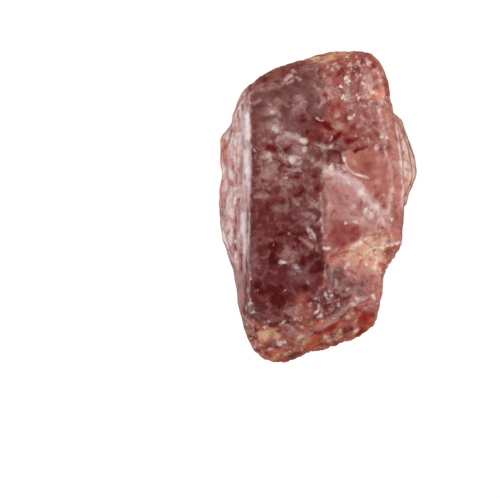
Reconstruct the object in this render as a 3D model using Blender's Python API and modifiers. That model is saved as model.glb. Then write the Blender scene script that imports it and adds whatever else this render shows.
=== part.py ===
"""A rough, water-worn spinel crystal, lying on one of its octahedral faces.

The crystal is a single solid. It grew as a stack of parallel layers, and was broken and rounded afterwards.
The script stacks the growth layers, trims them to the crystal's flat faces, takes the larger breaks out of
them, fuses everything, chips and roughens the surface, and cuts the resting face flat.

Work is done in millimetres; the finished mesh is scaled to metres. +Z is up, +Y runs along the crystal,
and the origin is on the resting face, under the middle of the crystal's box.
"""

import math

import bmesh
import bpy
import numpy as np
from mathutils import Matrix, Vector, noise

MM = 0.001  # metres in a millimetre

# Driving dimensions, in millimetres.
LENGTH = 11.2
WIDTH = 7.16
HEIGHT = 5.4

# How the surface is meshed.
VOXEL = 0.10
TRIANGLES = 10400

# The growth layers, bottom to top. An outline runs round a layer at its widest, anticlockwise from its
# lower left; "levels" gives (height, inset of the outline there); "tilt" turns it about X and Y, in degrees.
LAYERS = {
    "foot": {
        "outline": [
            (-2.60, -3.90), (-1.60, -4.95), (-0.20, -4.75), (1.50, -4.05), (1.95, -2.70), (2.50, -1.60),
            (2.85, -0.20), (3.05, 1.00), (2.80, 2.30), (2.30, 3.60), (1.95, 4.75), (0.90, 5.05),
            (-0.60, 4.75), (-2.20, 4.05), (-2.90, 2.70), (-3.15, 1.40), (-3.10, -0.20), (-2.95, -1.90),
        ],
        "levels": [(-0.40, 0.15), (0.70, 0.00), (1.30, 0.22)],
        "tilt": (0, 0),
    },
    "belly": {
        "outline": [
            (-2.71, -4.11), (-2.54, -4.70), (-2.32, -5.22), (-1.97, -5.58), (-1.52, -5.72), (-1.02, -5.64),
            (-0.25, -5.32), (0.52, -5.17), (1.00, -4.98), (1.54, -4.78), (1.98, -4.58), (2.13, -4.18),
            (2.20, -3.40), (2.25, -2.60), (2.45, -1.90), (2.72, -1.10), (2.95, -0.25), (3.18, 0.04),
            (3.21, 0.39), (3.54, 0.89), (3.57, 1.21), (3.43, 1.86), (3.25, 2.32), (3.07, 2.75),
            (3.00, 3.07), (2.60, 3.29), (2.20, 4.10), (2.05, 4.85), (1.75, 5.25), (1.32, 5.58),
            (0.60, 5.55), (-0.14, 5.36), (-0.75, 5.05), (-1.57, 4.62), (-2.25, 4.25), (-2.75, 3.93),
            (-3.04, 3.29), (-3.07, 2.89), (-3.25, 2.64), (-3.46, 2.43), (-3.57, 2.11), (-3.56, 1.68),
            (-3.40, 1.21), (-3.40, 0.96), (-3.58, 0.68), (-3.58, 0.25), (-3.55, -0.54), (-3.43, -1.18),
            (-3.21, -1.82), (-3.02, -2.29), (-2.93, -2.86), (-2.82, -3.64),
        ],
        "levels": [(0.90, 0.30), (1.95, 0.00), (2.55, 0.08), (2.85, 0.34)],
        "tilt": (1.0, -0.8),
    },
    "waist": {
        "outline": [
            (-2.74, -4.00), (-2.40, -4.98), (-1.50, -5.50), (-0.40, -5.18), (0.60, -4.92), (1.60, -4.62),
            (2.10, -4.12), (2.22, -3.00), (2.20, -2.50), (2.38, -1.94), (2.75, -1.30), (2.95, -0.60),
            (3.05, 0.10), (3.18, 0.50), (3.36, 0.95), (3.30, 1.50), (3.18, 2.00), (3.02, 2.50),
            (2.85, 2.95), (2.55, 3.30), (2.30, 4.20), (2.15, 4.85), (1.70, 5.25), (0.80, 5.30),
            (-0.20, 5.22), (-0.85, 5.02), (-1.60, 4.70), (-2.25, 4.35), (-2.80, 3.80), (-3.08, 3.20),
            (-3.14, 2.60), (-3.30, 1.90), (-3.30, 1.30), (-3.20, 0.90), (-3.36, 0.30), (-3.36, -0.50),
            (-3.26, -1.20), (-3.10, -1.80), (-2.98, -2.40), (-2.88, -3.10),
        ],
        "levels": [(2.50, 0.20), (2.95, 0.00), (3.35, 0.04), (3.62, 0.24)],
        "tilt": (-1.6, 1.2),
    },
    "shoulder": {
        "outline": [
            (-2.70, -3.95), (-2.30, -4.75), (-1.45, -5.10), (-0.40, -4.95), (0.60, -4.70), (1.55, -4.38),
            (2.10, -3.85), (2.26, -3.00), (2.30, -2.52), (2.56, -2.10), (2.92, -1.80), (3.00, -1.20),
            (3.00, 0.00), (3.00, 1.20), (2.92, 2.20), (2.77, 3.20), (2.46, 4.10), (2.26, 4.82),
            (1.84, 5.38), (1.20, 5.42), (-0.10, 5.28), (-0.80, 5.08), (-1.55, 4.82), (-2.18, 4.45),
            (-2.70, 3.95), (-2.98, 3.20), (-3.06, 2.30), (-3.10, 1.20), (-3.04, 0.20), (-3.14, -0.90),
            (-3.06, -1.90), (-2.94, -2.90), (-2.82, -3.50),
        ],
        "levels": [(3.20, 0.22), (3.62, 0.00), (4.05, 0.02), (4.60, 0.20)],
        "tilt": (0.8, 1.0),
    },
    "ledge": {
        "outline": [
            (-0.40, -4.80), (0.60, -4.66), (1.50, -4.28), (2.04, -3.78), (2.22, -3.00), (2.28, -2.45),
            (2.50, -1.95), (2.55, -1.30), (1.00, -1.10), (0.10, -1.80), (-0.30, -3.00),
        ],
        "levels": [(3.50, 0.15), (4.00, 0.00), (4.98, 0.10)],
        "tilt": (3.0, 7.0),
    },
    "front": {
        "outline": [
            (-2.66, -3.85), (-2.20, -4.55), (-1.35, -4.80), (-0.55, -4.55), (0.02, -4.10), (0.30, -3.50),
            (0.50, -2.80), (0.58, -2.10), (1.00, -1.80), (1.65, -1.70), (2.30, -1.80), (2.80, -1.82),
            (2.98, -1.60), (3.02, -0.80), (3.02, 0.60), (2.94, 1.60), (2.82, 2.50), (2.66, 3.30),
            (2.46, 4.10), (2.33, 4.76), (2.18, 5.10), (1.82, 5.42), (1.36, 5.46), (0.40, 5.34),
            (-0.72, 5.14), (-1.62, 4.82), (-2.32, 4.45), (-2.70, 4.00), (-2.80, 3.30), (-2.84, 2.40),
            (-2.84, 1.00), (-2.86, 0.00), (-2.92, -1.00), (-3.00, -2.20), (-2.92, -3.20),
        ],
        "levels": [(3.90, 0.16), (4.35, 0.00), (6.00, 0.50)],
        "tilt": (0, 0),
    },
}

# The crystal's flat faces: name, a point on the face and its outward direction. The walls lean by 19.5
# degrees, as octahedral faces do against the one that the crystal lies on.
FACES = {
    "front_left": ((-2.42, 0.00, 5.00), (-0.12, 0.01, 1.00)),
    "front_right": ((0.30, 0.00, 5.33), (0.14, 0.02, 1.00)),
    "top_left_chamfer": ((-2.50, 4.00, 4.92), (-0.61, 1.00, 0.80)),
    "top_chamfer": ((0.80, 5.20, 5.15), (0.05, 1.00, 0.75)),
    "right_bevel": ((2.46, 1.50, 4.95), (1.00, 0.09, 0.75)),
    "lower_right_bevel": ((0.40, -3.62, 4.95), (0.54, -1.00, 0.70)),
    "lower_left_bevel": ((-1.80, -4.25, 4.95), (-0.44, -1.00, 0.75)),
    "left_wall": ((-2.45, 0.00, 5.00), (-0.943, 0.00, 0.333)),
    "right_undercut": ((3.52, 1.00, 2.05), (0.943, 0.00, -0.333)),
    "top_left_undercut": ((-2.05, 4.45, 2.20), (-0.471, 0.816, -0.333)),
    "top_undercut": ((0.90, 5.52, 2.30), (0.18, 0.93, -0.333)),
    "toe_undercut": ((-2.22, -5.38, 2.00), (-0.471, -0.816, -0.333)),
    "lower_right_undercut": ((1.92, -4.46, 2.30), (0.62, -0.71, -0.333)),
    "left_undercut": ((-3.50, 0.60, 1.80), (-0.93, 0.10, -0.36)),
}

# Breaks, each a rounded or blocky lump cut away. Name: centre, half sizes, turn about each axis in degrees,
# roundness (1 is blocky, 4 is smooth), and the X of a plane that ends the break on its left, or None.
BREAKS = {
    "shell": ((0.72, -0.02, 7.72), (3.10, 2.90, 2.90), (0, 5, -24), 4, 0.25),
    "right_slope": ((2.70, 0.10, 6.35), (1.50, 2.20, 1.50), (0, 14, 6), 4, None),
    "corner": ((1.95, -1.45, 5.30), (0.75, 0.50, 0.50), (15, 20, 30), 2, None),
    "front_dip": ((-1.20, 1.75, 5.92), (2.30, 1.50, 0.86), (0, 4, 30), 4, None),
    "front_hollow": ((-1.10, -1.90, 5.88), (1.70, 2.30, 0.84), (0, -4, -20), 4, None),
    "front_high_hollow": ((0.70, 3.10, 6.06), (1.60, 2.40, 0.90), (3, 0, -35), 4, None),
    "toe": ((-1.30, -5.30, 5.25), (1.15, 0.85, 1.30), (24, 10, 0), 3, None),
    "left_slit_high": ((-2.70, 0.25, 4.25), (0.22, 0.55, 0.11), (0, 0, 0), 4, None),
    "left_slit_middle": ((-2.95, -0.75, 3.58), (0.28, 0.85, 0.14), (3, 0, 2), 4, None),
    "left_slit_low": ((-2.80, -2.00, 4.05), (0.24, 0.60, 0.12), (-4, 0, 3), 4, None),
    "left_flake": ((-3.35, 2.65, 3.25), (0.50, 0.85, 0.55), (0, 20, -14), 2, None),
    "left_pit": ((-3.28, -2.15, 3.00), (0.42, 0.62, 0.42), (0, 0, 10), 3, None),
    "left_scar": ((-3.55, 0.95, 2.55), (0.40, 0.95, 0.42), (12, 0, 0), 2, None),
    "crown": ((-0.30, 5.36, 3.50), (0.95, 0.42, 0.50), (0, 0, 16), 2, None),
    "crown_right": ((2.40, 5.10, 3.00), (0.62, 0.72, 0.75), (0, 0, 0), 4, None),
    "right_scar": ((3.02, 2.55, 3.90), (0.42, 0.95, 0.40), (-14, 0, 8), 2, None),
    "toe_right": ((0.95, -5.00, 1.45), (0.90, 0.50, 0.42), (0, 0, 24), 2, None),
    "toe_left": ((-2.78, -4.20, 2.65), (0.50, 0.70, 0.50), (0, 0, 24), 2, None),
    "back_left": ((-3.20, -2.60, 0.35), (0.80, 1.50, 0.80), (0, 20, 0), 4, None),
    "back_left_step": ((-2.95, 2.90, 0.55), (0.70, 0.90, 0.60), (0, 0, 20), 1, None),
    "back_right": ((3.25, 3.30, 0.35), (0.95, 1.30, 0.90), (0, -15, 0), 4, None),
    "back_right_step": ((2.75, -1.80, 0.40), (0.70, 0.95, 0.62), (0, 0, 25), 1, None),
    "back_toe": ((0.80, -4.85, 0.40), (1.40, 0.70, 0.85), (0, 0, 14), 2, None),
    "under_pit": ((-1.20, 2.30, -0.10), (0.75, 0.50, 0.38), (0, 0, 35), 2, None),
    "under_small_pit": ((1.55, -1.30, -0.08), (0.42, 0.55, 0.30), (0, 0, -20), 2, None),
    "under_dent": ((-1.60, -2.60, -0.12), (0.50, 0.70, 0.34), (0, 0, 10), 3, None),
}

# Small flat chips struck off the edges: how many places are tried, how far round a place each one reaches,
# how deep it goes, and how far above its surroundings a place has to stand, all in millimetres.
FLAKES = 420
FLAKE_REACH = (0.35, 1.00)
FLAKE_DEPTH = (0.05, 0.16)
FLAKE_STANDS_PROUD = 0.045

# Roughness of the worn surface: (size of the bumps, height), in millimetres.
SWELLS = (1.70, 0.075)
LUMPS = (0.60, 0.045)
SEED = 9


def clear_scene():
    for obj in list(bpy.data.objects):
        bpy.data.objects.remove(obj)


def new_collection(name):
    collection = bpy.data.collections.new(name)
    bpy.context.scene.collection.children.link(collection)
    return collection


def add_object(name, mesh, collection):
    obj = bpy.data.objects.new(name, mesh)
    collection.objects.link(obj)
    return obj


def mesh_from(bm, name):
    mesh = bpy.data.meshes.new(name)
    bm.to_mesh(mesh)
    bm.free()
    return mesh


def hide_helper(obj):
    obj.hide_render = True
    obj.display_type = "WIRE"


def turned(degrees):
    """The rotation for a turn about X, then Y, then Z."""
    turn = Matrix.Identity(3)
    for axis, angle in zip("XYZ", degrees):
        turn = Matrix.Rotation(math.radians(angle), 3, axis) @ turn
    return turn


def trim(bm, point, outward):
    """Cuts away what lies beyond a plane and closes the cut."""
    cut = bmesh.ops.bisect_plane(
        bm,
        geom=bm.verts[:] + bm.edges[:] + bm.faces[:],
        plane_co=point,
        plane_no=outward,
        clear_outer=True,
    )
    rim = [e for e in cut["geom_cut"] if isinstance(e, bmesh.types.BMEdge)]
    bmesh.ops.triangle_fill(bm, edges=rim, use_beauty=True, normal=outward)
    bmesh.ops.recalc_face_normals(bm, faces=bm.faces)


def inset_outline(outline, distance):
    """The outline moved inwards by a distance, each corner along the line that halves it."""
    points = [Vector(p) for p in outline]
    moved = []
    for i, point in enumerate(points):
        before = (point - points[i - 1]).normalized()
        after = (points[(i + 1) % len(points)] - point).normalized()
        along = before + after
        moved.append(point + Vector((-along.y, along.x)).normalized() * distance)
    return moved


def add_layer(bm, layer):
    """One growth layer: a loft through its outline at each of its levels, tilted about its own middle."""
    levels = layer["levels"]
    middle = Vector((0, 0, (levels[0][0] + levels[-1][0]) / 2))
    turn = turned((*layer["tilt"], 0))
    rings = []
    for height, inset in levels:
        corners = [Vector((p.x, p.y, height)) for p in inset_outline(layer["outline"], inset)]
        rings.append([bm.verts.new(turn @ (corner - middle) + middle) for corner in corners])
    bm.faces.new(reversed(rings[0]))
    bm.faces.new(rings[-1])
    for lower, upper in zip(rings, rings[1:]):
        for i in range(len(lower)):
            j = (i + 1) % len(lower)
            bm.faces.new((lower[i], lower[j], upper[j], upper[i]))


def stacked_layers(collection):
    bm = bmesh.new()
    for layer in LAYERS.values():
        add_layer(bm, layer)
    bmesh.ops.triangulate(bm, faces=bm.faces)
    return add_object("growth_layers", mesh_from(bm, "growth_layers"), collection)


def crystal_faces(collection):
    """A block trimmed by every flat face, for the layers to be intersected with."""
    bm = bmesh.new()
    bmesh.ops.create_cube(bm, size=4 * LENGTH)
    for point, outward in FACES.values():
        trim(bm, point, outward)
    block = add_object("crystal_faces", mesh_from(bm, "crystal_faces"), collection)
    hide_helper(block)
    return block


def break_cutters(collection):
    """The lumps that the breaks take away, in a collection of their own."""
    cutters = bpy.data.collections.new("breaks")
    collection.children.link(cutters)
    for name, (centre, half_sizes, turns, roundness, left_end) in BREAKS.items():
        bm = bmesh.new()
        bmesh.ops.create_icosphere(bm, subdivisions=roundness, radius=1.0)
        bmesh.ops.scale(bm, vec=half_sizes, verts=bm.verts)
        bmesh.ops.rotate(bm, matrix=turned(turns), verts=bm.verts)
        bmesh.ops.translate(bm, vec=centre, verts=bm.verts)
        if left_end is not None:
            trim(bm, (left_end, 0, 0), (-1, 0, 0))
        hide_helper(add_object(f"break_{name}", mesh_from(bm, name), cutters))
    return cutters


def add_boolean(obj, operation, other):
    modifier = obj.modifiers.new(operation.lower(), "BOOLEAN")
    modifier.operation = operation
    modifier.solver = "EXACT"
    modifier.use_self = True
    if isinstance(other, bpy.types.Collection):
        modifier.operand_type = "COLLECTION"
        modifier.collection = other
    else:
        modifier.object = other


def evaluated_mesh(obj):
    bpy.context.view_layer.update()
    graph = bpy.context.evaluated_depsgraph_get()
    return bpy.data.meshes.new_from_object(obj.evaluated_get(graph))


def fused_mesh(layers, faces, breaks):
    """The layers trimmed, broken and fused into one even skin."""
    add_boolean(layers, "INTERSECT", faces)
    add_boolean(layers, "DIFFERENCE", breaks)
    remesh = layers.modifiers.new("fuse", "REMESH")
    remesh.mode = "VOXEL"
    remesh.voxel_size = VOXEL
    return evaluated_mesh(layers)


def points_and_normals(mesh):
    points = np.empty(len(mesh.vertices) * 3)
    normals = np.empty(len(mesh.vertices) * 3)
    mesh.vertices.foreach_get("co", points)
    mesh.vertices.foreach_get("normal", normals)
    return points.reshape(-1, 3), normals.reshape(-1, 3)


def strike_flakes(mesh):
    """Flattens small patches of the edges, each onto a plane of its own that fades out at the patch's rim."""
    points, normals = points_and_normals(mesh)
    chance = np.random.default_rng(SEED)
    for _ in range(FLAKES):
        middle = chance.integers(len(points))
        reach = chance.uniform(*FLAKE_REACH)
        outward = normals[middle] + chance.normal(0, 0.3, 3)
        outward /= np.linalg.norm(outward)
        depth = chance.uniform(*FLAKE_DEPTH)
        away = np.linalg.norm(points - points[middle], axis=1)
        near = away < reach
        if (points[middle] - points[near].mean(axis=0)) @ normals[middle] < FLAKE_STANDS_PROUD:
            continue
        heights = points[near] @ outward
        over = np.maximum(heights - (heights.max() - depth), 0)
        fade = np.minimum((reach - away[near]) / (0.25 * reach), 1)
        points[near] -= (over * fade)[:, None] * outward
    mesh.vertices.foreach_set("co", points.ravel())
    mesh.update()


def roughen(mesh):
    """Moves each point of the skin along its normal by the worn surface's swells and lumps."""
    points, normals = points_and_normals(mesh)
    push = np.zeros(len(points))
    for size, height in (SWELLS, LUMPS):
        places = points / size + SEED
        push += height * np.array([noise.noise(Vector(place)) for place in places])
    mesh.vertices.foreach_set("co", (points + normals * push[:, None]).ravel())
    mesh.update()


def thinned_mesh(mesh, collection):
    """The same skin with about TRIANGLES triangles."""
    skin = add_object("skin", mesh, collection)
    hide_helper(skin)
    thin = skin.modifiers.new("thin", "DECIMATE")
    thin.ratio = TRIANGLES / (2 * len(mesh.polygons))
    thin.use_collapse_triangulate = True
    return evaluated_mesh(skin)


def cut_resting_face(mesh):
    """Cuts everything below the ground away and closes the cut with one flat face."""
    bm = bmesh.new()
    bm.from_mesh(mesh)
    trim(bm, (0, 0, 0), (0, 0, -1))
    bm.to_mesh(mesh)
    bm.free()


def fit_to_size(mesh):
    """Centres the crystal over the origin and brings its box to the driving dimensions, in metres."""
    points, _ = points_and_normals(mesh)
    low, high = points.min(axis=0), points.max(axis=0)
    middle = Vector(((low[0] + high[0]) / 2, (low[1] + high[1]) / 2, low[2]))
    share = np.array((WIDTH, LENGTH, HEIGHT)) / (high - low)
    mesh.transform(Matrix.Scale(MM, 4) @ Matrix.Diagonal((*share, 1)) @ Matrix.Translation(-middle))


def spinel_material():
    material = bpy.data.materials.new("spinel")
    material.use_nodes = True
    shader = material.node_tree.nodes["Principled BSDF"]
    shader.inputs["Base Color"].default_value = (0.30, 0.10, 0.09, 1.0)
    shader.inputs["Roughness"].default_value = 0.22
    shader.inputs["Metallic"].default_value = 0.0
    shader.inputs["IOR"].default_value = 1.72
    return material


def main():
    clear_scene()
    workshop = new_collection("cutters_and_guides")
    finished = new_collection("spinel crystal")
    layers = stacked_layers(workshop)
    hide_helper(layers)
    mesh = fused_mesh(layers, crystal_faces(workshop), break_cutters(workshop))
    strike_flakes(mesh)
    roughen(mesh)
    mesh = thinned_mesh(mesh, workshop)
    cut_resting_face(mesh)
    fit_to_size(mesh)
    mesh.materials.append(spinel_material())
    crystal = add_object("spinel_crystal", mesh, finished)
    crystal.data.shade_smooth()
    crystal.data.set_sharp_from_angle(angle=math.radians(35))


main()
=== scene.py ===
"""A rough, water-worn spinel crystal lying on a white table, seen from straight above.

The crystal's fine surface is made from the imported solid: it is remeshed, carved in code, and painted with
vertex attributes that its material reads. Places and sizes on the crystal are in millimetres; the finished
mesh is scaled to metres. X runs to the right of the picture, Y up it, and Z towards the camera.
"""

import math

import bmesh
import bpy
import numpy as np
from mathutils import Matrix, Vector, noise


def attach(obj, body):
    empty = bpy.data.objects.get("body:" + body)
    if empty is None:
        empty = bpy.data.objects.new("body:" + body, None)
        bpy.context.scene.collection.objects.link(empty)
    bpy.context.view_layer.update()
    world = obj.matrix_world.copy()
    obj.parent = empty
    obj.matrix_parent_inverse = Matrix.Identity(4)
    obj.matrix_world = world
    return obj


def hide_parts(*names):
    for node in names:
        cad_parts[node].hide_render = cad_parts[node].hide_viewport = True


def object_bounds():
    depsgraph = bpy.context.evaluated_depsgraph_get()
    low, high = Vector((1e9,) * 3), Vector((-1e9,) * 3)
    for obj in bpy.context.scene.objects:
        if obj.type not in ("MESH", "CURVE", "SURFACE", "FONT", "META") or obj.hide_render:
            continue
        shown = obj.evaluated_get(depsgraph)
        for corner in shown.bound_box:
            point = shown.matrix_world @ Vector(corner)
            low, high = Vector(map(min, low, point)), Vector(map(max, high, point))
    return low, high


MM = 0.001  # metres in a millimetre

# The camera: the picture's centre and width on the crystal's front.
PICTURE_CENTRE = (-2.43, -1.50, 3.50)
PICTURE_WIDTH = 17.857
CAMERA_DISTANCE = 300.0
SENSOR_WIDTH = 36.0

# Square lights that face a point in the crystal: direction, distance, length of the side, and radiance.
LIGHT_TARGET = (0, 0, 3)
LIGHTS = {
    "softbox_left": ((-0.95, 0.25, 0.35), 200, 150, 1.6),
    "softbox_right": ((0.95, 0.10, 0.40), 200, 130, 1.6),
    "key_left": ((-0.67, -0.30, 0.68), 220, 38, 17),
    "key_right": ((0.70, 0.30, 0.75), 220, 38, 20),
    "key_low": ((0.05, -0.80, 0.75), 220, 36, 18),
    "glint_left": ((-0.30, 0.55, 1.0), 220, 9, 110),
    "glint_right": ((0.50, 0.05, 1.0), 220, 9, 110),
}

# The room's light, by height, from -1 straight below to 1 overhead. Each band goes from one height to another
# and from one strength to another, and the weaker band counts.
ROOM_OVERHEAD = (0.40, 0.92, 0.70, 0.10)
ROOM_BELOW = (-0.15, 0.15, 0.12, 0.70)

# The white table.
FLOOR_HALF_SIDE = 600.0
FLOOR_COLOUR = (0.3, 0.3, 0.3, 1)
FLOOR_GLOW = 0.82

# The crystal's mesh.
VOXEL = 0.085
FRONT_FROM = 3.2  # height above which upward faces get a finer mesh
SEED = 5.0

# How the surface is worn: by waves, given as size, offset and height, by round pits, and by angular chips.
WEAR = ((0.80, 0.0, 0.030), (0.32, 3.1, 0.012), (0.14, 7.7, 0.004))
PIT_SPACING = 0.55
PIT_DEPTH = 0.016
CHIP_SPACING = 0.30
CHIP_HEIGHT = 0.045
CHIP_ROUGHNESS = 0.030
LEAST_CRUSHED = 0.15
BASE_HEIGHT = 0.03  # height below which the resting face is kept from bulging out
BASE_WEAR = 0.6

# The uneven rims that marks and sides share, as waves.
RIM_WAVES = ((0.45, 9.1, 0.9), (0.15, 4.4, 0.6), (0.08, 1.7, 0.5))

# Fine patterns are drawn out upright, so that from above they look as even on steep sides as on the front.
UPRIGHT = np.array((1, 1, 0.55))

# Tones are given as seen: under a sheen that grows where the surface is steep, and lit less than fully.
TONE_GAIN = 1.20
SHEEN_FLAT = 0.023
SHEEN_STEEP = 0.035
DARKEST = 0.004


def srgb(red, green, blue):
    """A colour given by its 8-bit screen values, as the linear values that shaders use."""
    linear = []
    for value in (red, green, blue):
        share = value / 255
        linear.append(share / 12.92 if share <= 0.04045 else ((share + 0.055) / 1.055) ** 2.4)
    return np.array(linear)


# The crystal's tones.
MAROON = srgb(108, 42, 46)
DEEP = srgb(78, 8, 14)
BRICK = srgb(172, 92, 82)
SALMON = srgb(196, 128, 106)
VEIL = srgb(204, 166, 160)
PALE = srgb(216, 164, 152)
RED_GLASS = srgb(200, 112, 118)
STRAND_RUST = srgb(164, 112, 104)
STRAND_WHITE = srgb(238, 224, 216)
# The colour of painted glints.
GLINT = srgb(255, 240, 222)

# The clear spinel inside.
REFRACTION = 1.718
ABSORPTION = (0.93, 0.28, 0.24, 1)
ABSORPTION_DENSITY = 1200
SCATTER_REACH = (1.0, 0.45, 0.38)
SCATTER_SCALE = 0.30
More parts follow.
